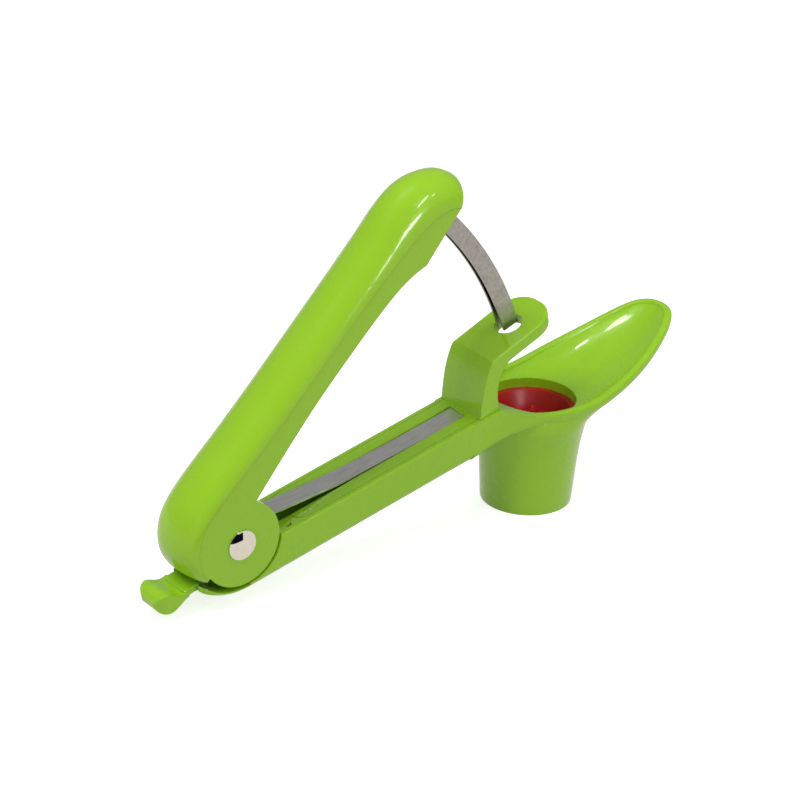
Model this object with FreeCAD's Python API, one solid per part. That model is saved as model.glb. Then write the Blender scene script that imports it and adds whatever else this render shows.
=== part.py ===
import FreeCAD, Part
import math
import os

# Cherry pitter with a sprung lever. Millimetres, +Z up. The origin is the centre of the cup's foot.
# Most pieces are drawn in the handle frame: origin on the pivot axis, X along the lower handle
# towards the cup, Z square to the handle's top face. place_handle() brings them to the cup's frame.
# The lever's pieces are drawn in the lever frame, which is the handle frame turned about the pivot.

V = FreeCAD.Vector
X_AXIS = V(1, 0, 0)
Y_AXIS = V(0, 1, 0)
Z_AXIS = V(0, 0, 1)
ORIGIN = V(0, 0, 0)

# Attitude of the frames
HANDLE_PITCH = 13.0          # the lower handle rises this much towards the cup
FOOT_X = 96.1                # cup foot centre seen from the pivot, in the handle frame
FOOT_Z = -41.15
REST_ANGLE = 34.5            # lever above the handle at rest
FAR = 300.0                  # longer than the whole tool, for cuts that run right through
TINY = 1e-6

# Fits
RUN_FIT = 0.05               # radial clearance of the pivot pin in the lugs
PRESS_GAP = 0.0              # pin in the cheeks, punch in its socket
SIDE_GAP = 0.3               # between faces that pass each other
INLAY_GAP = 0.1              # round the strip let into the handle
SLIT_GAP = 0.02              # round the punch in its socket
HUB_GAP = 0.45               # round the lever's discs

# Lower handle
HANDLE_HALF = 8.8            # half width
TOP_Z = -3.3                 # top face
BOTTOM_Z = -14.25            # underside
WALL = 1.9
BOTTOM_ROUND = 2.6           # rounding of the lower long edges
TOP_ROUND = 0.5              # rounding of the upper long edges
CRADLE_R = 19.3              # outer arc of the cradle under the discs
CRADLE_WALL = 1.4
CRADLE_RIM_Z = -7.0
CRADLE_CORNER = 8.0          # rounding of the cradle's rear corners in plan
HANDLE_END_X = 86.0          # the band takes over from the channel here
CAVITY_X = (15.1, 78.6)      # hollow under the strip
CAVITY_HALF = 6.3

# Pivot
DISC_R = 11.93               # flat discs of the lever
CHEEK_OUT = 8.4              # outer face of the cheeks
CHEEK_IN = 6.5
LUG_R = 9.3
LUG_IN = 3.2
LUG_OUT = CHEEK_IN - SIDE_GAP
LUG_FOOT_X = (6.5, 16.5)
LUG_FOOT_LIFT = 0.9
LUG_TOP_X = 8.7
CAM_R = 11.4                 # central lock disc of the lever
CAM_HALF = LUG_IN - SIDE_GAP
PIN_R = 2.0
HEAD_R = 4.15
HEAD_RISE = 0.9
HEAD_EDGE = 0.35
CAP_STEM_R = 1.0
CAP_SOCKET_DEPTH = 5.0
PIN_SETBACK = 1.2            # the shank ends this far inside the far cheek's face
CAP_LEAD = 0.8

# Guide arm
STRIP_HALF = 7.3             # inlaid strip
STRIP_T = 1.8
STRIP_REAR_X = 18.4
STRIP_ROUND = 4.0
SLOT_HALF = 3.35
SLOT_END_X = 77.9
ARM_HALF = 8.39
ARM_REAR_X = 79.1
ARM_FRONT_X = 85.8
BEND_X = 85.9
BEND_Z = 11.9
PLATE_SLOPE = 11.1
PLATE_TIP_X = 109.7
PLATE_TIP_LEAN = 0.7
PLATE_ROOT_X = 91.6
PLATE_ROUND = 0.6
ARM_FOOT_Z = -0.4
ARM_BACK = [(80.9, 2.7), (83.3, 8.2)]       # x and z on the arm's rear face
ARM_INSIDE = [(88.7, 7.3), (86.7, 4.0)]     # the same on its front face
PLATE_T = 3.3
PLATE_CORNER = 7.4
GUIDE_HOLE_R = 3.9
GUIDE_HOLE_SHIFT = 0.25      # the hole's middle lies this far outside the punch's middle
FOOT_BLOCK_DEPTH = 5.6
FOOT_BLOCK_LAP = 0.5         # how far the foot stops behind the arm's front face
FOOT_BLOCK_HALF = 6.0
SPRUE_X = 15.7
SPRUE_Y = -6.3
SPRUE_R = 0.8
SPRUE_LENGTH = 2.1
SPRUE_DEPTH = 1.2

# Leaf spring
SPRING_HALF = 3.0
SPRING_T = 0.6
SPRING_FRONT_X = 81.5
SPRING_REAR_X = 9.4
SPRING_REAR_Z = 0.55
SPRING_SINK = 0.3            # the spring's top under the strip's top in front
SPRING_LINE = [(73.9, -3.6), (55.0, -3.4), (39.0, -2.75), (24.0, -1.3), (14.5, -0.15)]

# Cup, rim and scoop (cup frame)
CUP_WALL = 1.8
RIM_Z = 32.4                 # lip's top beside the cup
RIM_WALL = 2.4               # lip's width
RIM_ROUND = 0.9              # rounding of the lip's two edges
RIM_SKIRT = 2.6              # height of the lip's upright outer face
RING_R = 16.2
NECK_Z = 25.5                # here the cup's wall starts to sweep out to the lip
MOUTH_R = 13.0               # edge between the bowl and the scoop's floor
MOUTH_Z = 30.0
MOUTH_LAND = 0.6             # flat ring between the bowl and the floor
LIP_MIDDLE = (14.6, 15.2)    # middle of the lip behind the cup and beside it
FLARE_LEAD = 1.2             # the sweep leaves the neck along the wall for this length
FLARE_SHARES = (0.15, 0.3, 0.5, 0.7, 0.85, 0.95)
FLOOR_SHARES = (0.02, 0.05, 0.1, 0.2, 0.35, 0.5, 0.65, 0.8, 0.92)
LIP_STEPS = 3
SKIRT_INSET = 0.25           # the lip's outer face leans in by this much towards its lower edge
LIP_MIDDLE_X = 10.0          # a point inside the lip's outline
KEEL_SAG = 0.04              # share of its reach by which the scoop's underside hangs under a straight line
FLOOR_SAG = 0.10             # the same for the scoop's floor
HULL_COLUMNS = 48            # columns of points round the lip
SEAT_LEDGE_Z = 18.2
SEAT_LEDGE_T = 1.6
SEAT_LEDGE_R = 9.0

# Cherry seat
SEAT_R = 12.4
SEAT_TOP_Z = 27.2
SEAT_WALL = 1.5
SEAT_HOLE_R = 3.9
SEAT_PATH_Z = 20.5           # height at which the seat's hole is centred on the punch's path
SEAT_SLITS = 8
SEAT_SLIT_W = 0.7
SEAT_SLIT_REACH = 8.0
LOBE_R = 2.2                 # bead between two slits
LOBE_SINK = 0.2              # how far the bead's axis lies under the floor
LOBE_FROM = 5.0
LOBE_REACH = 5.4
SEAT_FLOOR_R = 9.8
SEAT_FLOOR_T = 1.5
SEAT_OUT_STEP = 1.2          # wall outside the floor's edge
SEAT_IN_STEP = 1.0

# Punch
PUNCH_OUT_R = 102.0
PUNCH_DEPTH = 5.0
PUNCH_HALF = 1.56
PUNCH_SHEET = 0.7
PUNCH_END = -26.2            # lower end, degrees in the lever frame
PUNCH_ROOT = 4.6

# Lever
COVER_HALF = 8.55
COVER_WALL = 1.8
COVER_END_WALL = 0.015       # closed share of the crease at each end
COVER_SKIRT = 1.2            # the cover's section reaches this far inside the crease before it is trimmed
SEAT_LOW_X = 95.0
SEAT_LOW_Z = -2.0
SEAT_HEEL_X = -11.0
COVER_STEPS = 10
COVER_ROWS = 36
NOSE_BLOCK_BACK = 8.4        # the block that holds the punch, behind and before the punch's outer arc
NOSE_BLOCK_FRONT = 2.6
NOSE_BLOCK_Z = (3.2, 8.2)
NOSE_CORE_HALF = 4.0
NOSE_CORE_FRONT = 1.0
NOSE_CORE_Z = (5.0, 9.4)
RIB_X = (30.0, 48.0, 66.0)
RIB_T = 1.4
RIB_Z = (7.2, 13.0)
CAM_TRIM_Z = 10.0            # the lock disc is cut flat above and below this height
SPINE = [(-4.0, 0.0), (-4.0, 11.6), (28.0, 11.9), (28.0, 8.6), (11.0, 6.5), (4.0, 0.0)]
BRIDGE_X = (-7.0, 12.0)
BRIDGE_Z = (10.4, 11.9)
WINDOW_X = 5.2               # the spring's room starts here
WINDOW_FRONT_X = 20.0
WINDOW_RISE = 0.65
WINDOW_DROP = 0.6

# Lock slider
SLIDE_TOP = -7.0
SLIDE_T = 1.8
SLIDE_NOSE_X = -10.1
SLIDE_TRAVEL = 3.4
SLIDE_NOSE_HALF = 2.6
SLIDE_NECK_HALF = 4.6
SLIDE_NOSE_REAR_X = -14.0
SLIDE_NECK_X = (-17.5, -12.6)
TAB_HALF = 5.2
TAB_CORNER = 3.6
TAB_REAR_X = -25.9
TAB_LINE = [(-16.2, -7.0), (-18.2, -7.25), (-20.4, -6.3), (-22.4, -5.3), (-24.4, -5.7), (-25.7, -7.6),
            (-25.2, -9.6), (-23.2, -10.7), (-20.9, -10.6), (-18.4, -9.5), (-16.2, -8.8)]
LOCK_ROOM_X = (-19.0, -9.0)
NOTCH_DEPTH = 4.0
NOTCH_SLACK = 0.1
LOCK_TRAVEL_ANGLE = 27.5


def outline_of(points):
    """Closed polygon at y = 0 from (x, z) points."""
    return Part.makePolygon([V(x, 0, z) for x, z in points + points[:1]])


def wire_of(items):
    """Closed wire from a list: each item is a list of points (spline) or a pair (line)."""
    edges = []
    for pts in items:
        if len(pts) == 2:
            edges.append(Part.LineSegment(pts[0], pts[1]).toShape())
        else:
            curve = Part.BSplineCurve()
            curve.interpolate(pts)
            edges.append(curve.toShape())
    return Part.Wire(edges)


def xz(x, z, y=0.0):
    return V(x, y, z)


def slab(wire, half):
    """A closed wire drawn at y = 0 made into a solid from -half to +half."""
    face = Part.Face(wire)
    solid = face.extrude(V(0, 2 * half, 0))
    solid.translate(V(0, -half, 0))
    return solid


def rod(radius, half, x=0.0, z=0.0):
    return Part.makeCylinder(radius, 2 * half, V(x, -half, z), Y_AXIS)


def box(x0, x1, y0, y1, z0, z1):
    return Part.makeBox(x1 - x0, y1 - y0, z1 - z0, V(x0, y0, z0))


def place_handle(shape):
    s = shape.copy()
    s.translate(V(-FOOT_X, 0, -FOOT_Z))
    s.rotate(ORIGIN, Y_AXIS, -HANDLE_PITCH)
    return s


def place_lever(shape):
    s = shape.copy()
    s.rotate(ORIGIN, Y_AXIS, -REST_ANGLE)
    return place_handle(s)


def polar(radius, angle):
    a = math.radians(angle)
    return V(radius * math.cos(a), 0, radius * math.sin(a))


def sector(inner, outer, start, end, half):
    """Ring sector round the pivot between two angles, from -half to +half in Y."""
    mid = (start + end) / 2
    outside = Part.Arc(polar(outer, start), polar(outer, mid), polar(outer, end)).toShape()
    inside = Part.Arc(polar(inner, end), polar(inner, mid), polar(inner, start)).toShape()
    side_a = Part.LineSegment(polar(outer, end), polar(inner, end)).toShape()
    side_b = Part.LineSegment(polar(inner, start), polar(outer, start)).toShape()
    return slab(Part.Wire([outside, side_a, inside, side_b]), half)


def edges_where(shape, test):
    return [e for e in shape.Edges if test(e)]


# Lower handle
def cradle_arc_z(radius, x):
    return BOTTOM_Z + CRADLE_R - math.sqrt(radius ** 2 - x ** 2)


def cradle_rear_x():
    """Where the cradle's outer arc meets the height of its rim."""
    rise = CRADLE_RIM_Z - (BOTTOM_Z + CRADLE_R)
    return -math.sqrt(CRADLE_R ** 2 - rise ** 2)


def handle_profile():
    """Side outline of the channel with the cradle, closed along the top face."""
    rear_x = cradle_rear_x()
    start = xz(rear_x, CRADLE_RIM_Z)
    mid = xz(rear_x / 2, cradle_arc_z(CRADLE_R, rear_x / 2))
    low = xz(0, BOTTOM_Z)
    arc = Part.Arc(start, mid, low).toShape()
    pts = [low, xz(HANDLE_END_X, BOTTOM_Z), xz(HANDLE_END_X, TOP_Z), xz(0, TOP_Z), xz(0, CRADLE_RIM_Z), start]
    lines = [Part.LineSegment(pts[i], pts[i + 1]).toShape() for i in range(len(pts) - 1)]
    return Part.Wire([arc] + lines)


def cradle_plan():
    """Room in plan that the cradle keeps to, with its two rear corners rounded."""
    rear_x = cradle_rear_x()
    plan = box(rear_x, HANDLE_END_X, -HANDLE_HALF, HANDLE_HALF, BOTTOM_Z - 1, TOP_Z + 1)
    corners = edges_where(plan, lambda e: e.BoundBox.ZLength > 1 and e.CenterOfMass.x < rear_x + 1)
    return plan.makeFillet(min(CRADLE_CORNER, HANDLE_HALF - TINY), corners)


def make_channel():
    body = slab(handle_profile(), HANDLE_HALF)
    low = edges_where(body, lambda e: abs(abs(e.CenterOfMass.y) - HANDLE_HALF) < 0.01
                      and e.BoundBox.ZMax < CRADLE_RIM_Z + TINY and e.BoundBox.XLength > 5.0)
    body = body.makeFillet(min(BOTTOM_ROUND, (CRADLE_RIM_Z - BOTTOM_Z) / 2), low)
    high = edges_where(body, lambda e: abs(abs(e.CenterOfMass.y) - HANDLE_HALF) < 0.01
                       and e.BoundBox.ZMin > TOP_Z - 0.01 and e.BoundBox.XLength > 5.0)
    body = body.makeFillet(TOP_ROUND, high)
    body = body.common(cradle_plan())
    inner_r = CRADLE_R - CRADLE_WALL
    centre_z = BOTTOM_Z + CRADLE_R
    scoop_out = rod(inner_r, HANDLE_HALF + 1, 0, centre_z)
    scoop_out = scoop_out.common(box(-FAR, 0, -FAR, FAR, -FAR, FAR))
    disc_room = rod(DISC_R + HUB_GAP, HANDLE_HALF + 1)
    return body.cut(scoop_out).cut(disc_room)


def make_channel_hollow():
    """What is taken out of the channel: the strip's seat, the hollow, the spring's mouth, the arm's foot."""
    strip_seat = box(STRIP_REAR_X, ARM_FRONT_X, -STRIP_HALF, STRIP_HALF, TOP_Z - STRIP_T, TOP_Z + 1)
    corner = edges_where(strip_seat, lambda e: e.BoundBox.ZLength > 1 and e.CenterOfMass.x < STRIP_REAR_X + 1)
    strip_seat = strip_seat.makeFillet(STRIP_ROUND, corner)
    cavity = box(CAVITY_X[0], CAVITY_X[1], -CAVITY_HALF, CAVITY_HALF, BOTTOM_Z + WALL,
                 TOP_Z - STRIP_T + INLAY_GAP)
    spring_mouth = box(DISC_R - 2, STRIP_REAR_X + 5, -SLOT_HALF, SLOT_HALF, BOTTOM_Z + WALL, TOP_Z + 1)
    foot_room = box(CAVITY_X[1] - 1, ARM_FRONT_X - FOOT_BLOCK_LAP + INLAY_GAP, -FOOT_BLOCK_HALF, FOOT_BLOCK_HALF,
                    TOP_Z - FOOT_BLOCK_DEPTH, TOP_Z)
    sprue = box(SPRUE_X - SPRUE_LENGTH / 2, SPRUE_X + SPRUE_LENGTH / 2, SPRUE_Y - SPRUE_R, SPRUE_Y + SPRUE_R,
                TOP_Z - SPRUE_DEPTH, TOP_Z + 1)
    sprue = sprue.makeFillet(0.9 * SPRUE_R, edges_where(sprue, lambda e: e.BoundBox.ZLength > 1))
    return [strip_seat, cavity, spring_mouth, foot_room, sprue]


def make_lugs():
    """Two plates that carry the pin between the lever's cheeks, joined to the channel in front."""
    ring = rod(LUG_R, LUG_OUT)
    foot_z = BOTTOM_Z + LUG_FOOT_LIFT
    neck = slab(outline_of([(0, -LUG_R), (LUG_FOOT_X[0], foot_z), (LUG_FOOT_X[1], foot_z), (LUG_FOOT_X[1], TOP_Z),
                            (LUG_TOP_X, TOP_Z), (0, 0)]), LUG_OUT)
    lugs = ring.fuse(neck)
    lugs = lugs.cut(box(-FAR, FAR, -LUG_IN, LUG_IN, -FAR, FAR))
    return lugs.cut(rod(PIN_R + RUN_FIT, LUG_OUT + 1))


def plan_outline(points, z):
    """Closed outline in plan, symmetric about X: a spline through points and its mirror image."""
    left = [V(p[0], p[1], z) for p in points]
    right = [V(p[0], -p[1], z) for p in reversed(points)]
    a = Part.BSplineCurve()
    a.interpolate(left)
    b = Part.BSplineCurve()
    b.interpolate(right)
    edges = [a.toShape(), b.toShape()]
    if (left[-1] - right[0]).Length > 1e-6:
        edges.insert(1, Part.LineSegment(left[-1], right[0]).toShape())
    if (right[-1] - left[0]).Length > 1e-6:
        edges.append(Part.LineSegment(right[-1], left[0]).toShape())
    return Part.Wire(edges)


# radius and height of the cup's outer wall
CUP_WALL_LINE = [(12.7, 0.0), (13.0, 4.0), (13.3, 8.0), (13.6, 12.0), (14.0, 16.0), (14.6, 20.0), (15.2, 23.0),
                 (15.9, NECK_Z)]
# x, half width and height of the lip's outer edge, from beside the cup to the scoop's tip
LIP_LINE = [(-RING_R, 0.0, RIM_Z), (-15.3, 5.4, RIM_Z), (-12.6, 10.2, RIM_Z), (-8.4, 13.9, RIM_Z),
            (-3.0, 16.0, RIM_Z), (4.0, 16.7, 32.5), (10.0, 16.9, 33.3), (17.0, 16.4, 35.2), (24.0, 15.2, 37.5),
            (31.0, 13.3, 40.3), (37.0, 11.0, 43.2), (41.5, 8.7, 45.5), (44.1, 6.7, 46.6), (45.9, 4.4, 47.1),
            (46.8, 2.2, 47.3), (47.1, 0.0, 47.3)]


def lip_curve():
    """The lip's outer edge as a closed curve that starts behind the cup."""
    right = [V(x, -y, z) for x, y, z in reversed(LIP_LINE[1:-1])]
    points = [V(x, y, z) for x, y, z in LIP_LINE] + right
    curve = Part.BSplineCurve()
    curve.interpolate(points, PeriodicFlag=True)
    return curve


def between(a, b, share):
    return a + (b - a) * share


def lip_point(curve, share):
    """A point of the lip's outer edge and the level direction square to it, towards the inside."""
    at = curve.parameterAtDistance(share * curve.length())
    edge = curve.value(at)
    along = V(*curve.tangent(at)[0])
    inward = Z_AXIS.cross(V(along.x, along.y, 0)).normalize()
    if inward.dot(V(edge.x - LIP_MIDDLE_X, edge.y, 0)) > 0:
        inward = inward * -1
    return edge, inward


def hull_column(curve, share):
    """Points from the foot up the outside, over the lip and down to the bowl's mouth."""
    edge, inward = lip_point(curve, share)
    angle = math.atan2(edge.y, edge.x)
    ray = V(math.cos(angle), math.sin(angle), 0)
    pts = [ray * r + Z_AXIS * z for r, z in CUP_WALL_LINE]
    neck = pts[-1]
    skirt = edge + inward * SKIRT_INSET - Z_AXIS * RIM_SKIRT
    lead = neck + (pts[-1] - pts[-2]).normalize() * FLARE_LEAD
    reach = V(skirt.x - neck.x, skirt.y - neck.y, 0).Length
    for t in FLARE_SHARES:
        sag = KEEL_SAG * reach * 4 * t * (1 - t)
        pts.append(between(between(neck, lead, t), between(lead, skirt, t), t) - Z_AXIS * sag)
    pts.append(skirt)
    pts.append(edge + inward * (SKIRT_INSET / 4) - Z_AXIS * (RIM_SKIRT + RIM_ROUND) * 0.5)
    for k in range(LIP_STEPS + 1):
        a = math.pi / 2 * k / LIP_STEPS
        pts.append(edge + inward * (RIM_ROUND * (1 - math.cos(a))) - Z_AXIS * (RIM_ROUND * (1 - math.sin(a))))
    for k in range(LIP_STEPS, -1, -1):
        a = math.pi / 2 * k / LIP_STEPS
        pts.append(edge + inward * (RIM_WALL - RIM_ROUND * (1 - math.cos(a)))
                   - Z_AXIS * (RIM_ROUND * (1 - math.sin(a))))
    start = pts[-1]
    core = ray * MOUTH_R + Z_AXIS * MOUTH_Z
    reach = V(start.x - core.x, start.y - core.y, 0).Length
    for t in FLOOR_SHARES:
        sag = FLOOR_SAG * reach * 4 * t * (1 - t)
        pts.append(between(start, core, t) - Z_AXIS * sag)
    pts.append(core)
    return pts


def split_skin(skin, u_knots, v_knots):
    """Faces of one surface, cut at some of its knots."""
    faces = []
    for u0, u1 in zip(u_knots, u_knots[1:]):
        for v0, v1 in zip(v_knots, v_knots[1:]):
            piece = skin.copy()
            piece.segment(u0, u1, v0, v1)
            faces.append(piece.toShape())
    return faces


def make_hull():
    """Cup, lip and scoop as one form whose whole outside, lip and floor are a single surface."""
    curve = lip_curve()
    columns = []
    for k in range(HULL_COLUMNS + 1):
        columns.append(hull_column(curve, (k / HULL_COLUMNS + 0.5) % 1.0))
    skin = Part.BSplineSurface()
    skin.interpolate(columns)
    skin.setPoleRow(skin.NbUPoles, skin.getPoles()[0])
    u_knots = skin.getUKnots()
    v_knots = skin.getVKnots()
    third = HULL_COLUMNS // 3
    neck_row = len(CUP_WALL_LINE) - 1
    crown_row = len(CUP_WALL_LINE) + len(FLARE_SHARES) + LIP_STEPS + 3
    faces = split_skin(skin, [u_knots[0], u_knots[third], u_knots[-1 - third], u_knots[-1]],
                       [v_knots[0], v_knots[neck_row], v_knots[crown_row], v_knots[-1]])
    for v in (v_knots[0], v_knots[-1]):
        faces.append(Part.Face(Part.Wire(skin.vIso(v).toShape())))
    shell = Part.makeShell(faces)
    shell.sewShape()
    solid = Part.Solid(shell)
    if solid.Volume < 0:
        solid.reverse()
    return solid


def cup_radius(z):
    """Outer radius of the cup's wall at a height under the neck."""
    for (r0, z0), (r1, z1) in zip(CUP_WALL_LINE, CUP_WALL_LINE[1:]):
        if z <= z1:
            return r0 + (r1 - r0) * (z - z0) / (z1 - z0)
    return CUP_WALL_LINE[-1][0]


def cone_solid(profile):
    """Solid of revolution about Z from (radius, z) points."""
    pts = [V(r, 0, z) for r, z in profile]
    pts.append(pts[0])
    return Part.Face(Part.makePolygon(pts)).revolve(ORIGIN, Z_AXIS, 360)


# x and half width of the band, then x and height of its lower and upper edges
BAND_PLAN = [(-27.0, HANDLE_HALF), (-24.5, HANDLE_HALF), (-20.0, 9.4), (-13.0, 12.1), (-7.0, 14.7), (-3.0, 16.1),
             (2.0, 16.45), (8.0, 16.2)]
BAND_LOW = [(-27.5, 21.2), (-24.0, 22.2), (-19.0, 24.4), (-13.0, 26.9), (-5.0, 28.9), (9.0, 30.4)]
BAND_TOP = [(9.0, 32.1), (0.0, 32.0), (-9.0, 32.4), (-14.0, 33.3)]
BAND_BASE_Z = 10.0
BAND_HEEL = 9.0              # the band laps over the channel by this much
BAND_ROUND = 2.08


def spline_of(points):
    curve = Part.BSplineCurve()
    curve.interpolate([V(x, 0, z) for x, z in points])
    return curve.toShape()


def make_band():
    """The band that carries the handle's sides round the cup as its rim."""
    block = Part.Face(plan_outline(BAND_PLAN, BAND_BASE_Z)).extrude(V(0, 0, FAR))
    front = place_handle(Part.Vertex(ARM_FRONT_X, 0, TOP_Z)).Point
    heel = place_handle(Part.Vertex(ARM_FRONT_X - BAND_HEEL, 0, TOP_Z)).Point
    low = BAND_LOW[0]
    edges = [spline_of(BAND_LOW), Part.LineSegment(xz(*BAND_LOW[-1]), xz(*BAND_TOP[0])).toShape(),
             spline_of(BAND_TOP + [(front.x, front.z)]), Part.LineSegment(front, heel).toShape(),
             Part.LineSegment(heel, xz(*low)).toShape()]
    band = block.common(slab(Part.Wire(edges), FAR))
    lower = edges_where(band, lambda e: abs(e.CenterOfMass.y) > HANDLE_HALF - 0.5 and e.BoundBox.XLength > 10
                        and e.CenterOfMass.z < BAND_LOW[-2][1])
    band = band.makeFillet(BAND_ROUND, lower)
    band = band.cut(Part.makeCylinder(LIP_MIDDLE[0], FAR, V(0, 0, MOUTH_Z - 1), Z_AXIS))
    return band.cut(box(0, FAR, -LIP_MIDDLE[1], LIP_MIDDLE[1], MOUTH_Z - 1, FAR))


def make_lower_handle():
    channel = place_handle(make_channel())
    body = make_hull().fuse(make_band()).fuse(channel)
    for hollow in make_channel_hollow():
        body = body.cut(place_handle(hollow))
    body = body.fuse(place_handle(make_lugs()))
    foot_r = cup_radius(0) - CUP_WALL
    throat = cone_solid([(0, -FAR), (foot_r, -FAR), (foot_r, 0), (cup_radius(SEAT_LEDGE_Z) - CUP_WALL, SEAT_LEDGE_Z),
                         (0, SEAT_LEDGE_Z)])
    ledge_hole = Part.makeCylinder(SEAT_LEDGE_R, SEAT_LEDGE_T * 2, V(0, 0, SEAT_LEDGE_Z - SEAT_LEDGE_T / 2), Z_AXIS)
    mouth_r = MOUTH_R - MOUTH_LAND
    bowl = cone_solid([(0, SEAT_LEDGE_Z + SEAT_LEDGE_T), (SEAT_FLOOR_R + SEAT_OUT_STEP, SEAT_LEDGE_Z + SEAT_LEDGE_T),
                       (SEAT_R, SEAT_TOP_Z), (mouth_r, MOUTH_Z), (mouth_r, RIM_Z), (0, RIM_Z)])
    return body.cut(throat).cut(ledge_hole).cut(bowl)


# Cherry seat
def punch_path_x(z):
    """x in the cup frame where the middle of the punch passes a height in the cup."""
    pivot = place_handle(Part.Vertex(0, 0, 0)).Point
    middle = PUNCH_OUT_R - PUNCH_DEPTH / 2
    return pivot.x + math.sqrt(middle ** 2 - (z - pivot.z) ** 2)


def make_seat():
    low_z = SEAT_LEDGE_Z + SEAT_LEDGE_T
    floor_z = low_z + SEAT_FLOOR_T
    hole_x = punch_path_x(SEAT_PATH_Z)
    seat = cone_solid([(0, low_z), (SEAT_FLOOR_R + SEAT_OUT_STEP, low_z), (SEAT_R, SEAT_TOP_Z),
                       (SEAT_R - SEAT_WALL, SEAT_TOP_Z), (SEAT_FLOOR_R - SEAT_IN_STEP, floor_z + SEAT_OUT_STEP),
                       (0, floor_z)])
    for i in range(SEAT_SLITS):
        lobe = Part.makeCylinder(LOBE_R, LOBE_REACH, V(LOBE_FROM, 0, floor_z - LOBE_SINK), X_AXIS)
        lobe.rotate(ORIGIN, Z_AXIS, 360.0 * i / SEAT_SLITS)
        seat = seat.fuse(lobe.common(box(-FAR, FAR, -FAR, FAR, low_z, FAR)))
    seat = seat.cut(Part.makeCylinder(SEAT_HOLE_R, FAR, V(hole_x, 0, 0), Z_AXIS))
    for i in range(SEAT_SLITS):
        slit = box(0, SEAT_SLIT_REACH, -SEAT_SLIT_W / 2, SEAT_SLIT_W / 2, 0, SEAT_TOP_Z)
        slit.rotate(ORIGIN, Z_AXIS, 360.0 * (i + 0.5) / SEAT_SLITS)
        slit.translate(V(hole_x / 2, 0, 0))
        seat = seat.cut(slit)
    return seat


# Guide arm
def plate_top_z(x):
    return BEND_Z + (x - BEND_X) * math.tan(math.radians(PLATE_SLOPE))


def guide_hole_x():
    """x where the middle of the punch, a little shifted, passes the plate's middle."""
    rise = math.tan(math.radians(PLATE_SLOPE))
    base = BEND_Z - BEND_X * rise - PLATE_T / 2
    radius = PUNCH_OUT_R - PUNCH_DEPTH / 2 + GUIDE_HOLE_SHIFT
    return (math.sqrt(radius ** 2 * (1 + rise ** 2) - base ** 2) - base * rise) / (1 + rise ** 2)


def make_guide_arm():
    drop = PLATE_T / math.cos(math.radians(PLATE_SLOPE))
    lean_x = PLATE_TIP_X + PLATE_TIP_LEAN
    tip_top = xz(PLATE_TIP_X, plate_top_z(PLATE_TIP_X))
    tip_low = xz(lean_x, plate_top_z(lean_x) - drop)
    under = xz(PLATE_ROOT_X, plate_top_z(PLATE_ROOT_X) - drop)
    foot = xz(ARM_FRONT_X, ARM_FOOT_Z)
    profile = wire_of([
        [xz(ARM_REAR_X, TOP_Z)] + [xz(*p) for p in ARM_BACK] + [xz(BEND_X, BEND_Z)],
        [xz(BEND_X, BEND_Z), tip_top],
        [tip_top, tip_low],
        [tip_low, under],
        [under] + [xz(*p) for p in ARM_INSIDE] + [foot],
        [foot, xz(ARM_FRONT_X, TOP_Z)],
        [xz(ARM_FRONT_X, TOP_Z), xz(ARM_REAR_X, TOP_Z)]])
    arm = slab(profile, ARM_HALF)
    plan = box(0, PLATE_TIP_X, -ARM_HALF, ARM_HALF, -FAR, FAR)
    ends = edges_where(plan, lambda e: e.BoundBox.ZLength > FAR and e.CenterOfMass.x > PLATE_TIP_X - 1)
    arm = arm.common(plan.makeFillet(min(PLATE_CORNER, ARM_HALF - TINY), ends))
    edge = edges_where(arm, lambda e: e.BoundBox.ZMin > BEND_Z - 0.5 and e.CenterOfMass.z >
                       plate_top_z(e.CenterOfMass.x) - 0.4 and e.BoundBox.XLength > 0.5)
    arm = arm.makeFillet(PLATE_ROUND, edge)
    normal = V(-math.sin(math.radians(PLATE_SLOPE)), 0, math.cos(math.radians(PLATE_SLOPE)))
    hole_x = guide_hole_x()
    hole_mid = xz(hole_x, plate_top_z(hole_x) - PLATE_T / 2)
    arm = arm.cut(Part.makeCylinder(GUIDE_HOLE_R, 4 * PLATE_T, hole_mid - normal * (2 * PLATE_T), normal))
    strip = box(STRIP_REAR_X + INLAY_GAP, ARM_FRONT_X - FOOT_BLOCK_LAP, -STRIP_HALF + INLAY_GAP,
                STRIP_HALF - INLAY_GAP, TOP_Z - STRIP_T, TOP_Z)
    corner = edges_where(strip, lambda e: e.BoundBox.ZLength > STRIP_T / 2 and e.CenterOfMass.x < STRIP_REAR_X + 1)
    strip = strip.makeFillet(STRIP_ROUND, corner)
    strip = strip.cut(box(0, SLOT_END_X, -SLOT_HALF, SLOT_HALF, -FAR, FAR))
    block = box(CAVITY_X[1] - FOOT_BLOCK_LAP, ARM_FRONT_X - FOOT_BLOCK_LAP, -FOOT_BLOCK_HALF + INLAY_GAP,
                FOOT_BLOCK_HALF - INLAY_GAP, TOP_Z - FOOT_BLOCK_DEPTH + INLAY_GAP, TOP_Z)
    arm = arm.fuse(strip).fuse(block)
    spring_top = TOP_Z - SPRING_SINK
    return arm.cut(box(0, SPRING_FRONT_X, -SPRING_HALF, SPRING_HALF, spring_top - SPRING_T, spring_top))


# Leaf spring
def make_leaf_spring():
    top = [xz(*p) for p in SPRING_LINE] + [xz(SPRING_REAR_X, SPRING_REAR_Z)]
    low = [p - Z_AXIS * SPRING_T for p in reversed(top)]
    front_top = xz(SPRING_FRONT_X, TOP_Z - SPRING_SINK)
    front_low = front_top - Z_AXIS * SPRING_T
    return slab(wire_of([[front_top, top[0]], top, [top[-1], low[0]], low, [low[-1], front_low],
                         [front_low, front_top]]), SPRING_HALF)


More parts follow.
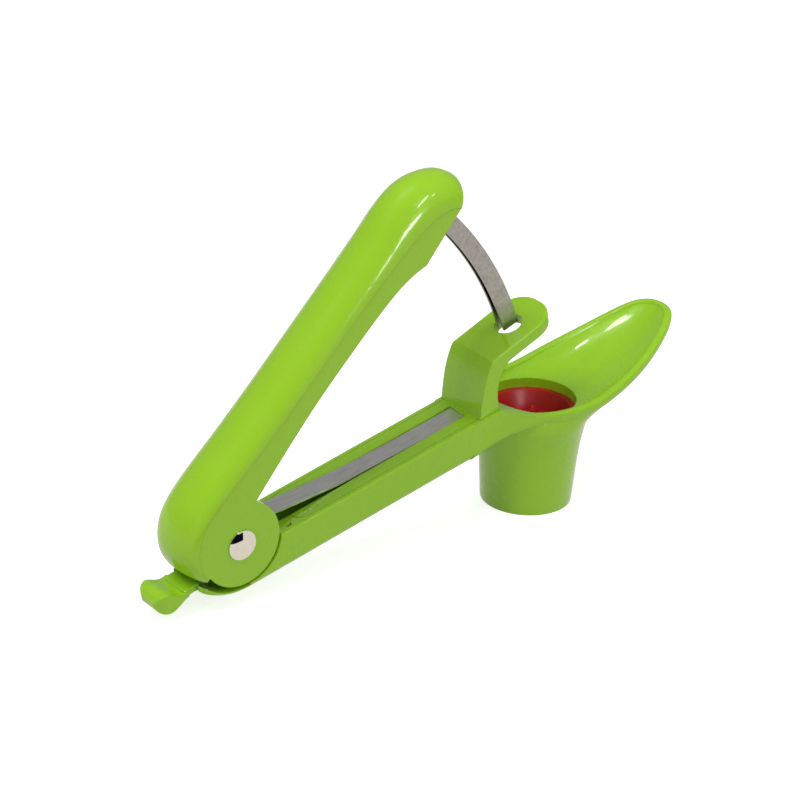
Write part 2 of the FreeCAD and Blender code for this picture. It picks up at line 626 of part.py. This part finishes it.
# Lever
LOWER_EDGE = [(11.0, 4.6), (22.7, 5.5), (41.8, 6.4), (57.0, 6.2), (72.0, 5.5), (80.4, 4.1), (85.9, 1.9)]
CREASE = [(-12.5, 2.6), (-11.8, 5.6), (-8.7, 9.9), (-3.6, 13.1), (3.0, 14.0), (16.0, 13.3), (50.0, 12.0),
          (84.5, 10.6), (93.0, 9.5), (98.8, 7.6), (102.2, 4.9), (103.2, 3.2)]


def crease_curve():
    curve = Part.BSplineCurve()
    curve.interpolate([xz(x, z) for x, z in CREASE])
    return curve


def arm_outline():
    """Flat side of the lever between its lower edge and the crease."""
    lower = Part.BSplineCurve()
    lower.interpolate([xz(x, z) for x, z in LOWER_EDGE])
    first = xz(LOWER_EDGE[0][0], LOWER_EDGE[0][1])
    last = xz(LOWER_EDGE[-1][0], LOWER_EDGE[-1][1])
    start = xz(CREASE[0][0], CREASE[0][1])
    end = xz(CREASE[-1][0], CREASE[-1][1])
    centre = xz(0, 0)
    return Part.Wire([crease_curve().toShape(), Part.LineSegment(end, last).toShape(), lower.toShape(),
                      Part.LineSegment(first, centre).toShape(), Part.LineSegment(centre, start).toShape()])


# share of the crease's length, how far the cover stands out there
COVER_STATIONS = [(0.0, 1.8), (0.03, 3.3), (0.06, 4.3), (0.10, 4.8), (0.15, 5.05), (0.21, 5.3), (0.32, 5.65),
                  (0.5, 6.0), (0.68, 6.3), (0.80, 7.4), (0.87, 8.9), (0.92, 9.5), (0.96, 8.7), (1.0, 7.2)]


def bulge_at(share):
    """Smooth value between the stations, from their heights and the slopes of their neighbours."""
    last = len(COVER_STATIONS) - 1
    i = min(max(k for k in range(last) if COVER_STATIONS[k][0] <= share + TINY), last - 1)
    (x0, b0), (x1, b1) = COVER_STATIONS[i], COVER_STATIONS[i + 1]
    (xa, ba), (xb, bb) = COVER_STATIONS[max(i - 1, 0)], COVER_STATIONS[min(i + 2, last)]
    slope0 = (b1 - ba) / (x1 - xa)
    slope1 = (bb - b0) / (xb - x0)
    step = x1 - x0
    t = (share - x0) / step
    return (b0 * (1 + 2 * t) * (1 - t) ** 2 + b1 * t * t * (3 - 2 * t)
            + slope0 * step * t * (1 - t) ** 2 - slope1 * step * t * t * (1 - t))


def cover_section(curve, share, half, bulge, skirt):
    """Points of a section square to the crease: half an ellipse outside it, a straight skirt inside it."""
    at = curve.parameterAtDistance(max(share, TINY) * curve.length())
    p = curve.value(at)
    t = V(*curve.tangent(at)[0])
    t.normalize()
    out = t.cross(Y_AXIS)
    pts = [p + Y_AXIS * half - out * skirt]
    for i in range(COVER_STEPS + 1):
        a = math.pi * i / COVER_STEPS
        pts.append(p + Y_AXIS * (half * math.cos(a)) + out * (bulge * math.sin(a)))
    pts.append(p - Y_AXIS * half - out * skirt)
    return pts


def cover_form(inset, skirt, end_share):
    """Solid under a surface drawn through sections along the crease."""
    curve = crease_curve()
    rows = []
    for i in range(COVER_ROWS + 1):
        share = end_share + (1 - 2 * end_share) * i / COVER_ROWS
        rows.append(cover_section(curve, share, COVER_HALF - inset, bulge_at(share) - inset, skirt))
    skin = Part.BSplineSurface()
    skin.interpolate(rows)
    u0, u1, v0, v1 = skin.bounds()
    left = skin.vIso(v0).toShape()
    right = skin.vIso(v1).toShape()
    faces = [skin.toShape(), Part.makeRuledSurface(left, right)]
    for u, row in ((u0, rows[0]), (u1, rows[-1])):
        faces.append(Part.Face(Part.Wire([skin.uIso(u).toShape(), Part.LineSegment(row[-1], row[0]).toShape()])))
    shell = Part.makeShell(faces)
    shell.sewShape()
    solid = Part.Solid(shell)
    if solid.Volume < 0:
        solid.reverse()
    return solid


def cover_seat():
    """Everything inside the crease, which the cover leaves to the frame."""
    start = xz(CREASE[0][0], CREASE[0][1])
    end = xz(CREASE[-1][0], CREASE[-1][1])
    low = xz(SEAT_LOW_X, SEAT_LOW_Z)
    heel = xz(SEAT_HEEL_X, SEAT_LOW_Z)
    wire = Part.Wire([crease_curve().toShape(), Part.LineSegment(end, low).toShape(),
                      Part.LineSegment(low, heel).toShape(), Part.LineSegment(heel, start).toShape()])
    return slab(wire, COVER_HALF + 1)


def make_cover():
    outer = cover_form(0, COVER_SKIRT, 0)
    inner = cover_form(COVER_WALL, 2 * COVER_SKIRT, COVER_END_WALL)
    return outer.cut(inner).cut(cover_seat())


def make_frame(cover):
    side = slab(arm_outline(), CHEEK_OUT).fuse(rod(DISC_R, CHEEK_OUT))
    side = side.cut(box(-FAR, FAR, -CHEEK_IN, CHEEK_IN, -FAR, FAR))
    inside = slab(arm_outline(), CHEEK_IN)
    rear_x = PUNCH_OUT_R - NOSE_BLOCK_BACK
    block = box(rear_x, PUNCH_OUT_R + NOSE_BLOCK_FRONT, -CHEEK_IN, CHEEK_IN, NOSE_BLOCK_Z[0], NOSE_BLOCK_Z[1])
    core = box(rear_x, PUNCH_OUT_R + NOSE_CORE_FRONT, -NOSE_CORE_HALF, NOSE_CORE_HALF, NOSE_CORE_Z[0], NOSE_CORE_Z[1])
    frame = side.fuse(block.common(inside)).fuse(core.cut(cover))
    for x in RIB_X:
        rib = box(x - RIB_T / 2, x + RIB_T / 2, -CHEEK_IN, CHEEK_IN, RIB_Z[0], RIB_Z[1])
        frame = frame.fuse(rib.common(inside))
    cam = rod(CAM_R, CAM_HALF).common(box(-FAR, FAR, -FAR, FAR, -FAR, CAM_TRIM_Z))
    bridge = box(BRIDGE_X[0], BRIDGE_X[1], -CHEEK_IN, CHEEK_IN, BRIDGE_Z[0], BRIDGE_Z[1])
    cam = cam.fuse(slab(outline_of(SPINE), CAM_HALF)).fuse(bridge.common(inside))
    frame = frame.fuse(cam).cut(spring_window())
    for turn in (0.0, LOCK_TRAVEL_ANGLE):
        frame = frame.cut(nose_notch(turn))
    frame = frame.cut(punch_socket())
    return frame.cut(rod(PIN_R + PRESS_GAP, FAR))


def punch_socket():
    return sector(PUNCH_OUT_R - PUNCH_DEPTH - SLIT_GAP, PUNCH_OUT_R + SLIT_GAP, PUNCH_END, PUNCH_ROOT + SLIT_GAP,
                  PUNCH_HALF + SLIT_GAP)


def spring_window():
    """Room in the lock disc for the spring's rear end, drawn in the handle frame."""
    room = slab(outline_of([(WINDOW_X, SPRING_REAR_Z + WINDOW_RISE), (WINDOW_FRONT_X, SPRING_REAR_Z - WINDOW_DROP),
                            (WINDOW_FRONT_X, -FAR), (WINDOW_X, -FAR)]), SLOT_HALF)
    room.rotate(ORIGIN, Y_AXIS, REST_ANGLE)
    return room


def nose_notch(turn):
    """Room for the lock's nose, pushed in, with the lever turned this far from rest."""
    half = CAM_HALF + NOTCH_SLACK
    room = box(SLIDE_NOSE_X - NOTCH_DEPTH, SLIDE_NOSE_X + SLIDE_TRAVEL + SIDE_GAP, -half, half,
               SLIDE_TOP - SLIDE_T - SIDE_GAP, SLIDE_TOP + SIDE_GAP)
    room.rotate(ORIGIN, Y_AXIS, REST_ANGLE - turn)
    return room


# Punch and pin
def make_punch():
    outer = sector(PUNCH_OUT_R - PUNCH_DEPTH, PUNCH_OUT_R, PUNCH_END, PUNCH_ROOT, PUNCH_HALF)
    inner = sector(PUNCH_OUT_R - PUNCH_DEPTH - 1, PUNCH_OUT_R - PUNCH_SHEET, PUNCH_END - 1, PUNCH_ROOT + 1,
                   PUNCH_HALF - PUNCH_SHEET)
    return outer.cut(inner)


def make_head(side):
    """Low dome that lies on a cheek's outer face."""
    rise = HEAD_RISE - HEAD_EDGE
    ball = (HEAD_R ** 2 + rise ** 2) / (2 * rise)
    disc = Part.makeCylinder(HEAD_R, HEAD_RISE, V(0, CHEEK_OUT, 0), Y_AXIS)
    sphere = Part.makeSphere(ball, V(0, CHEEK_OUT + HEAD_RISE - ball, 0))
    head = disc.common(sphere)
    if side < 0:
        head = head.mirror(ORIGIN, Y_AXIS)
    return head


def make_pin():
    end_y = CHEEK_OUT - PIN_SETBACK
    shank = Part.makeCylinder(PIN_R, CHEEK_OUT + end_y, V(0, -CHEEK_OUT, 0), Y_AXIS)
    bore = Part.makeCylinder(CAP_STEM_R, FAR, V(0, end_y - CAP_SOCKET_DEPTH, 0), Y_AXIS)
    return shank.cut(bore).fuse(make_head(-1))


def make_pin_cap():
    start_y = CHEEK_OUT - CAP_LEAD - CAP_SOCKET_DEPTH
    stem = Part.makeCylinder(CAP_STEM_R, CHEEK_OUT - start_y, V(0, start_y, 0), Y_AXIS)
    return stem.fuse(make_head(1))


# Lock slider
def make_slider():
    low = SLIDE_TOP - SLIDE_T
    nose = box(SLIDE_NOSE_REAR_X, SLIDE_NOSE_X, -SLIDE_NOSE_HALF, SLIDE_NOSE_HALF, low, SLIDE_TOP)
    neck = box(SLIDE_NECK_X[0], SLIDE_NECK_X[1], -SLIDE_NECK_HALF, SLIDE_NECK_HALF, low, SLIDE_TOP)
    top = [xz(*p) for p in TAB_LINE]
    tab = slab(wire_of([top, [top[-1], top[0]]]), TAB_HALF)
    wide = box(TAB_REAR_X, 0, -TAB_HALF, TAB_HALF, -FAR, FAR)
    rear = edges_where(wide, lambda e: e.BoundBox.ZLength > FAR and e.CenterOfMass.x < TAB_REAR_X + 1)
    return nose.fuse(neck).fuse(tab.common(wide.makeFillet(TAB_CORNER, rear)))


def lock_window(body):
    """Passage for the lock through the cradle's rear."""
    room = box(LOCK_ROOM_X[0], LOCK_ROOM_X[1], -TAB_HALF - SIDE_GAP, TAB_HALF + SIDE_GAP, SLIDE_TOP - SLIDE_T - SIDE_GAP,
               SLIDE_TOP + SIDE_GAP)
    return body.cut(place_handle(room))


os.makedirs("parts", exist_ok=True)
COVER = make_cover()
NODES = {
    "lower_handle": lambda: lock_window(make_lower_handle()),
    "cherry_seat": make_seat,
    "guide_arm": lambda: place_handle(make_guide_arm()),
    "leaf_spring": lambda: place_handle(make_leaf_spring()),
    "lock_slider": lambda: place_handle(make_slider()),
    "lever_frame": lambda: place_lever(make_frame(COVER)),
    "lever_cover": lambda: place_lever(COVER),
    "punch": lambda: place_lever(make_punch()),
    "pivot_pin": lambda: place_lever(make_pin()),
    "pin_cap": lambda: place_lever(make_pin_cap()),
}
for name, build in NODES.items():
    raw = build()
    solid = raw.Solids[0].removeSplitter()
    print(name, "solids", len(raw.Solids), "valid", solid.isValid(), "volume", round(solid.Volume, 1),
          "box", [round(v, 2) for v in (solid.BoundBox.XMin, solid.BoundBox.YMin, solid.BoundBox.ZMin,
                                        solid.BoundBox.XMax, solid.BoundBox.YMax, solid.BoundBox.ZMax)])
    solid.exportStep("parts/" + name + ".step")
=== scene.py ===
import math

import bpy
from mathutils import Matrix, Vector


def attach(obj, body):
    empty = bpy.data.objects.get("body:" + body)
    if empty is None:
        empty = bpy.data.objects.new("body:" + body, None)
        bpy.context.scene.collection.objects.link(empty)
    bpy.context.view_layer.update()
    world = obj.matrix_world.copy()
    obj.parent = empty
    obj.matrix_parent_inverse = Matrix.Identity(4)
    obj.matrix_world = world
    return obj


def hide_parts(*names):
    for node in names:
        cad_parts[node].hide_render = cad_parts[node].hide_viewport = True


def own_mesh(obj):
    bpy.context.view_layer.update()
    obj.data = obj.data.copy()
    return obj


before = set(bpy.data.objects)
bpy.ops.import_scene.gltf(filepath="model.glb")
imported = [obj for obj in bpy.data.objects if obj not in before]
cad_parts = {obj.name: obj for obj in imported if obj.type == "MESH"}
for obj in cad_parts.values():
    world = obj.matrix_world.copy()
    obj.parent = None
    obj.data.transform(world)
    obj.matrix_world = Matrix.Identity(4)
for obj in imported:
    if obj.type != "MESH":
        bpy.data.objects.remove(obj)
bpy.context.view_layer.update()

# Lengths are in metres, in the row frame unless said otherwise: origin at the cup's foot, +X to the scoop,
# +Z up. The handle frame has its origin at the pivot and rises by PITCH towards the cup.

PITCH = math.radians(13.0)
FOOT_X = 0.0961
FOOT_Z = -0.04115

# Leaf spring: its top line in the handle frame as (x, z), from the arm to the free end
SPRING_LINE = [(0.0815, -0.0036), (0.0739, -0.0036), (0.055, -0.0034), (0.039, -0.00275),
               (0.024, -0.0013), (0.0145, -0.00015), (0.0118, 0.0002)]
SPRING_STEPS = 8
SPRING_HALF = 0.003
SPRING_THICK = 0.0006
SPRING_CORNER = 0.0009

# Green plastic
PLASTIC_LOW = (0.300, 0.590, 0.012, 1)
PLASTIC_HIGH = (0.335, 0.635, 0.016, 1)
PLASTIC_ROUGH = (0.22, 0.30)
HANDLE_ROUGH = (0.22, 0.32)
COAT_ROUGH = (0.03, 0.07)
COAT_WEIGHT = 0.55
PLASTIC_IOR = 1.49
PLASTIC_SHEEN = 0.30
PLASTIC_DEPTH = (0.6, 1.0, 0.2)
DEPTH_SCALE = 0.0015
DRIFT_SCALE = 18.0
SMEAR_SCALE = 150.0
PEEL_SCALE = 380.0
EDGE_ROUND = 0.0004

# Steel: colours and the grain's stretch along x, y and z
PUNCH_LOW = (0.34, 0.325, 0.31, 1)
PUNCH_HIGH = (0.56, 0.54, 0.515, 1)
PUNCH_GRAIN = (1.0, 6.0, 1.0)
SPRING_LOW = (0.66, 0.65, 0.625, 1)
SPRING_HIGH = (0.90, 0.885, 0.86, 1)
SPRING_GRAIN = (0.08, 1.0, 1.0)
STEEL_ROUGH = (0.26, 0.42)
GRAIN_SCALE = 900.0

# Rivet
CHROME_LOW = (0.80, 0.77, 0.68, 1)
CHROME_HIGH = (0.88, 0.85, 0.78, 1)
CHROME_ROUGH = (0.02, 0.06)
HAZE_SCALE = 700.0

# Silicone
RED_LOW = (0.38, 0.004, 0.010, 1)
RED_HIGH = (0.50, 0.007, 0.014, 1)
RED_ROUGH = (0.30, 0.46)
RED_DEPTH = (1.0, 0.2, 0.15)
BLOOM_SCALE = 220.0

# Stage
WHITE = (1.0, 1.0, 1.0, 1.0)
NIGHT = (0.004, 0.004, 0.010, 1.0)
FLOOR_SIZE = 6.0
PAPER = (0.62, 0.62, 0.62, 1.0)
PAPER_GLOW = 0.74
MIRRORED_FLOOR = (1.0, 0.96, 0.88, 1.0)
MIRRORED_GLOW = 0.80
AMBIENT = 0.31
BACKDROP = 1.0
MIDDLE = (-0.04, 0.0, 0.045)

# Lamps: name, place, size and power
LAMPS = [("key", (-0.50, 0.05, 0.90), (0.50, 0.50), 5.4),
         ("side", (0.35, -0.90, 0.60), (0.40, 0.55), 3.0),
         ("sky", (0.40, -0.35, 1.00), (0.50, 0.50), 1.4),
         ("fill", (-0.95, -0.65, 0.40), (0.50, 0.50), 1.0)]

# Lit strips beside the tool, at GLINT_Y: name, both ends as (x, z), half height and strength
GLINT_Y = -0.30
UPRIGHTS = [("shoulder_glint", (-0.068, 0.150), (0.000, 0.158), 0.020, 26.0),
            ("nose_glint", (-0.065, 0.290), (0.045, 0.418), 0.018, 22.0),
            ("nose_spot", (0.090, 0.386), (0.115, 0.386), 0.012, 22.0)]

# Lit strips over the tool, at SKY_Z: name, both ends as (x, y), half width and strength
SKY_Z = 0.60
OVERHEADS = [("scoop_glint_far", (-0.225, 0.070), (-0.160, 0.060), 0.022, 30.0),
             ("scoop_glint_near", (-0.110, 0.004), (-0.045, -0.010), 0.022, 30.0)]

# A shade at SHADE_Z that keeps the overhead strips off the lever's nose, as (x, y) corners
SHADE_Z = 0.20
SHADE_FROM = (-0.092, -0.060)
SHADE_TO = (-0.041, 0.080)

# A dark card on the floor that the rivet's dome mirrors, as (x, z) corners at CARD_Y
CARD_Y = -0.060
CARD_FROM = (-0.0725, 0.0015)
CARD_TO = (-0.150, 0.0165)

# Camera fitted to the photograph: centre, and the directions right, down and forward
CAMERA_AT = Vector((-0.54244, -0.61372, 0.42245))
CAMERA_RIGHT = Vector((0.789109, -0.612924, 0.040394))
CAMERA_DOWN = Vector((-0.238240, -0.366009, -0.899599))
CAMERA_FORWARD = Vector((0.566171, 0.700258, -0.434844))
CAMERA_SENSOR = 36.0
CAMERA_LENS = 148.978
CAMERA_NEAR = 0.01
CAMERA_FAR = 20.0


def new_piece(name, verts, faces):
    """A mesh object of that name in the scene."""
    mesh = bpy.data.meshes.new(name)
    mesh.from_pydata(verts, [], faces)
    piece = bpy.data.objects.new(name, mesh)
    bpy.context.scene.collection.objects.link(piece)
    return piece


# Leaf spring

def handle_point(x, y, z):
    """A point of the handle frame brought to the row frame."""
    dx = x - FOOT_X
    dz = z - FOOT_Z
    along = dx * math.cos(PITCH) - dz * math.sin(PITCH)
    up = dx * math.sin(PITCH) + dz * math.cos(PITCH)
    return Vector((along, y, up))


def spline_value(q0, q1, q2, q3, t):
    """One coordinate of a smooth curve between q1 and q2, with its neighbours q0 and q3."""
    square = (2 * q0 - 5 * q1 + 4 * q2 - q3) * t * t
    cube = (3 * q1 - q0 - 3 * q2 + q3) * t ** 3
    return 0.5 * (2 * q1 + (q2 - q0) * t + square + cube)


def smooth_line(points, steps):
    """Points along a smooth curve through the given ones."""
    out = []
    last = len(points) - 1
    for i in range(last):
        near = points[max(i - 1, 0)], points[i], points[i + 1], points[min(i + 2, last)]
        for k in range(steps):
            out.append(tuple(spline_value(*q, k / steps) for q in zip(*near)))
    out.append(points[last])
    return out


def leaf_spring():
    """The spring as a closed strip with rounded corners at its free end."""
    line = smooth_line(SPRING_LINE, SPRING_STEPS)
    end_x = line[-1][0]
    verts = []
    for x, z in line:
        into = max(0.0, SPRING_CORNER - (x - end_x))
        half = SPRING_HALF - (SPRING_CORNER - math.sqrt(SPRING_CORNER ** 2 - into ** 2))
        low = z - SPRING_THICK
        verts += [handle_point(x, -half, z), handle_point(x, half, z)]
        verts += [handle_point(x, half, low), handle_point(x, -half, low)]
    faces = [(3, 2, 1, 0)]
    for r in range(len(line) - 1):
        for k in range(4):
            a = r * 4 + k
            b = r * 4 + (k + 1) % 4
            faces.append((a, b, b + 4, a + 4))
    n = len(verts)
    faces.append((n - 4, n - 3, n - 2, n - 1))
    piece = new_piece("leaf_spring_strip", verts, faces)
    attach(piece, "handle")
    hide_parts("leaf_spring")
    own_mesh(piece)
    return piece


# Materials

class Tree:
    """A small helper that adds nodes to a material and links them."""

    def __init__(self, name):
        self.mat = bpy.data.materials.new(name)
        self.mat.use_nodes = True
        self.tree = self.mat.node_tree
        self.tree.nodes.clear()
        self.out = self.add("ShaderNodeOutputMaterial")

    def add(self, kind, **values):
        """A new node, with its own settings and its sockets' constants set."""
        node = self.tree.nodes.new(kind)
        for key, value in values.items():
            if hasattr(node, key):
                setattr(node, key, value)
            else:
                node.inputs[key.replace("_", " ")].default_value = value
        return node

    def link(self, a, out, b, socket):
        """Link one node's output to another's socket."""
        self.tree.links.new(a.outputs[out], b.inputs[socket])

    def noise(self, source, out, scale, detail, rough):
        """A noise texture laid out by a coordinate node."""
        node = self.add("ShaderNodeTexNoise", Scale=scale, Detail=detail, Roughness=rough)
        self.link(source, out, node, "Vector")
        return node

    def tint(self, noise, low, high, start, stop, shader):
        """The shader's base colour runs from low to high with a noise."""
        node = self.add("ShaderNodeValToRGB")
        elements = node.color_ramp.elements
        elements[0].position = start
        elements[0].color = low
        elements[1].position = stop
        elements[1].color = high
        self.link(noise, "Fac", node, "Fac")
        self.link(node, "Color", shader, "Base Color")

    def spread(self, noise, values, shader, socket, start=0.3, stop=0.7):
        """A socket's value runs from the first to the second value with a noise."""
        node = self.add("ShaderNodeMapRange", From_Min=start, From_Max=stop)
        node.inputs["To Min"].default_value = values[0]
        node.inputs["To Max"].default_value = values[1]
        self.link(noise, "Fac", node, "Value")
        self.link(node, "Result", shader, socket)

    def bump(self, noise, strength, distance, shader):
        """The shader's surface is raised by a noise."""
        node = self.add("ShaderNodeBump", Strength=strength, Distance=distance)
        self.link(noise, "Fac", node, "Height")
        self.link(node, "Normal", shader, "Normal")
        return node


def surface(name):
    """A new material's tree with its shader and its coordinates."""
    t = Tree(name)
    shader = t.add("ShaderNodeBsdfPrincipled")
    t.link(shader, "BSDF", t.out, "Surface")
    return t, shader, t.add("ShaderNodeTexCoord")


def plastic(name, rough):
    """Glossy moulded plastic: faint flow drift in the colour, uneven gloss, fine orange peel, soft edges."""
    t, shader, where = surface(name)
    drift = t.noise(where, "Object", DRIFT_SCALE, 2.0, 0.45)
    t.tint(drift, PLASTIC_LOW, PLASTIC_HIGH, 0.30, 0.70, shader)
    smear = t.noise(where, "Object", SMEAR_SCALE, 5.0, 0.6)
    t.spread(smear, rough, shader, "Roughness")
    t.spread(smear, COAT_ROUGH, shader, "Coat Roughness")
    peel = t.noise(where, "Object", PEEL_SCALE, 1.0, 0.4)
    bump = t.bump(peel, 0.03, 0.0001, shader)
    edge = t.add("ShaderNodeBevel", samples=6, Radius=EDGE_ROUND)
    t.link(edge, "Normal", bump, "Normal")
    t.link(edge, "Normal", shader, "Coat Normal")
    shader.inputs["IOR"].default_value = PLASTIC_IOR
    shader.inputs["Subsurface Weight"].default_value = 0.08
    shader.inputs["Subsurface Radius"].default_value = PLASTIC_DEPTH
    shader.inputs["Subsurface Scale"].default_value = DEPTH_SCALE
    shader.inputs["Specular IOR Level"].default_value = PLASTIC_SHEEN
    shader.inputs["Coat Weight"].default_value = COAT_WEIGHT
    return t.mat


def brushed(name, low, high, stretch):
    """Satin sheet steel with a grain along one direction."""
    t, shader, where = surface(name)
    place = t.add("ShaderNodeMapping")
    place.inputs["Rotation"].default_value = (0.0, PITCH, 0.0)
    place.inputs["Scale"].default_value = stretch
    t.link(where, "Object", place, "Vector")
    grain = t.noise(place, "Vector", GRAIN_SCALE, 6.0, 0.7)
    t.tint(grain, low, high, 0.30, 0.72, shader)
    t.spread(grain, STEEL_ROUGH, shader, "Roughness")
    t.bump(grain, 0.12, 0.0001, shader)
    shader.inputs["Metallic"].default_value = 1.0
    return t.mat


def chrome(name):
    """Polished plating with a faint haze."""
    t, shader, where = surface(name)
    haze = t.noise(where, "Object", HAZE_SCALE, 4.0, 0.6)
    t.spread(haze, CHROME_ROUGH, shader, "Roughness")
    t.tint(haze, CHROME_LOW, CHROME_HIGH, 0.3, 0.7, shader)
    shader.inputs["Metallic"].default_value = 1.0
    return t.mat


def silicone(name):
    """Soft satin rubber with a fine bloom."""
    t, shader, where = surface(name)
    bloom = t.noise(where, "Object", BLOOM_SCALE, 4.0, 0.6)
    t.tint(bloom, RED_LOW, RED_HIGH, 0.3, 0.7, shader)
    t.spread(bloom, RED_ROUGH, shader, "Roughness", 0.0, 1.0)
    t.bump(bloom, 0.10, 0.0002, shader)
    shader.inputs["Subsurface Weight"].default_value = 0.25
    shader.inputs["Subsurface Radius"].default_value = RED_DEPTH
    shader.inputs["Subsurface Scale"].default_value = DEPTH_SCALE
    return t.mat


GREEN = plastic("lime_plastic", PLASTIC_ROUGH)
GREEN_HANDLE = plastic("lime_plastic_handle", HANDLE_ROUGH)
PUNCH_STEEL = brushed("punch_steel_brushed", PUNCH_LOW, PUNCH_HIGH, PUNCH_GRAIN)
SPRING_STEEL = brushed("spring_steel_brushed", SPRING_LOW, SPRING_HIGH, SPRING_GRAIN)
CHROME = chrome("rivet_chrome_polished")
RED = silicone("red_silicone_satin")

FINISH = {"lower_handle": GREEN_HANDLE,
          "guide_arm": GREEN,
          "lock_slider": GREEN,
          "lever_frame": GREEN,
          "lever_cover": GREEN,
          "cherry_seat": RED,
          "leaf_spring": SPRING_STEEL,
          "punch": PUNCH_STEEL,
          "pivot_pin": CHROME,
          "pin_cap": CHROME}


def dress(obj, mat):
    """Give a piece its one material."""
    obj.data.materials.clear()
    obj.data.materials.append(mat)


for node_name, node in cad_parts.items():
    dress(node, FINISH[node_name])
dress(leaf_spring(), SPRING_STEEL)


# Stage, light and camera

def stage_floor():
    """White paper: the camera sees it bright with its shadow, and shiny faces mirror a warm even glow."""
    s = FLOOR_SIZE
    floor = new_piece("floor", [(-s, -s, 0), (s, -s, 0), (s, s, 0), (-s, s, 0)], [(0, 1, 2, 3)])
    t = Tree("floor_paper")
    paper = t.add("ShaderNodeBsdfDiffuse", Color=PAPER)
    white = t.add("ShaderNodeEmission", Color=WHITE, Strength=PAPER_GLOW)
    both = t.add("ShaderNodeAddShader")
    mirrored = t.add("ShaderNodeEmission", Color=MIRRORED_FLOOR, Strength=MIRRORED_GLOW)
    path = t.add("ShaderNodeLightPath")
    seen = t.add("ShaderNodeMixShader")
    shiny = t.add("ShaderNodeMixShader")
    t.link(paper, "BSDF", both, 0)
    t.link(white, "Emission", both, 1)
    t.link(path, "Is Camera Ray", seen, "Fac")
    t.link(paper, "BSDF", seen, 1)
    t.link(both, "Shader", seen, 2)
    t.link(path, "Is Glossy Ray", shiny, "Fac")
    t.link(seen, "Shader", shiny, 1)
    t.link(mirrored, "Emission", shiny, 2)
    t.link(shiny, "Shader", t.out, "Surface")
    floor.data.materials.append(t.mat)


def world_light():
    """Even light from all round, seen by the camera as a white backdrop."""
    world = bpy.data.worlds.new("studio")
    bpy.context.scene.world = world
    world.use_nodes = True
    tree = world.node_tree
    tree.nodes.clear()
    out = tree.nodes.new("ShaderNodeOutputWorld")
    path = tree.nodes.new("ShaderNodeLightPath")
    pick = tree.nodes.new("ShaderNodeMixShader")
    tree.links.new(path.outputs["Is Camera Ray"], pick.inputs["Fac"])
    for slot, strength in ((1, AMBIENT), (2, BACKDROP)):
        sky = tree.nodes.new("ShaderNodeBackground")
        sky.inputs["Color"].default_value = WHITE
        sky.inputs["Strength"].default_value = strength
        tree.links.new(sky.outputs["Background"], pick.inputs[slot])
    tree.links.new(pick.outputs["Shader"], out.inputs["Surface"])


def lamp(name, place, size, power):
    """A soft lamp aimed at the tool, kept out of shiny faces."""
    light = bpy.data.lights.new(name, "AREA")
    light.shape = "RECTANGLE"
    light.size = size[0]
    light.size_y = size[1]
    light.energy = power
    obj = bpy.data.objects.new(name, light)
    bpy.context.scene.collection.objects.link(obj)
    obj.location = place
    obj.rotation_euler = (Vector(MIDDLE) - Vector(place)).to_track_quat("-Z", "Y").to_euler()
    obj.visible_glossy = False


def board(name, corners, colour, strength):
    """A flat board out of the picture, lit or dark, that only mirrored rays meet."""
    obj = new_piece(name, corners, [(0, 1, 2, 3)])
    t = Tree(name)
    glow = t.add("ShaderNodeEmission", Color=colour, Strength=strength)
    t.link(glow, "Emission", t.out, "Surface")
    obj.data.materials.append(t.mat)
    obj.visible_camera = False
    obj.visible_diffuse = False
    obj.visible_shadow = False


def upright(name, start, end, half, strength):
    """A lit strip that stands beside the tool."""
    (x0, z0), (x1, z1) = start, end
    corners = [(x0, z0 - half), (x1, z1 - half), (x1, z1 + half), (x0, z0 + half)]
    board(name, [(x, GLINT_Y, z) for x, z in corners], WHITE, strength)


def overhead(name, start, end, half, strength):
    """A lit strip over the tool."""
    (x0, y0), (x1, y1) = start, end
    corners = [(x0, y0 - half), (x1, y1 - half), (x1, y1 + half), (x0, y0 + half)]
    board(name, [(x, y, SKY_Z) for x, y in corners], WHITE, strength)


def corners_of(start, end):
    """The corners of an upright rectangle between two opposite ones."""
    (a0, b0), (a1, b1) = start, end
    return [(a0, b0), (a1, b0), (a1, b1), (a0, b1)]


def make_camera():
    """The photograph's camera."""
    cam = bpy.data.cameras.new("camera")
    obj = bpy.data.objects.new("camera", cam)
    bpy.context.scene.collection.objects.link(obj)
    cam.sensor_width = CAMERA_SENSOR
    cam.lens = CAMERA_LENS
    cam.clip_start = CAMERA_NEAR
    cam.clip_end = CAMERA_FAR
    turn = Matrix((CAMERA_RIGHT, -CAMERA_DOWN, -CAMERA_FORWARD)).transposed().to_4x4()
    obj.matrix_world = Matrix.Translation(CAMERA_AT) @ turn
    bpy.context.scene.camera = obj


stage_floor()
world_light()
for row in UPRIGHTS:
    upright(*row)
for row in OVERHEADS:
    overhead(*row)
board("glint_shade", [(x, y, SHADE_Z) for x, y in corners_of(SHADE_FROM, SHADE_TO)], WHITE, AMBIENT)
board("dark_card", [(x, CARD_Y, z) for x, z in corners_of(CARD_FROM, CARD_TO)], NIGHT, 1.0)
for row in LAMPS:
    lamp(*row)
make_camera()
bpy.context.scene.view_settings.view_transform = "Standard"
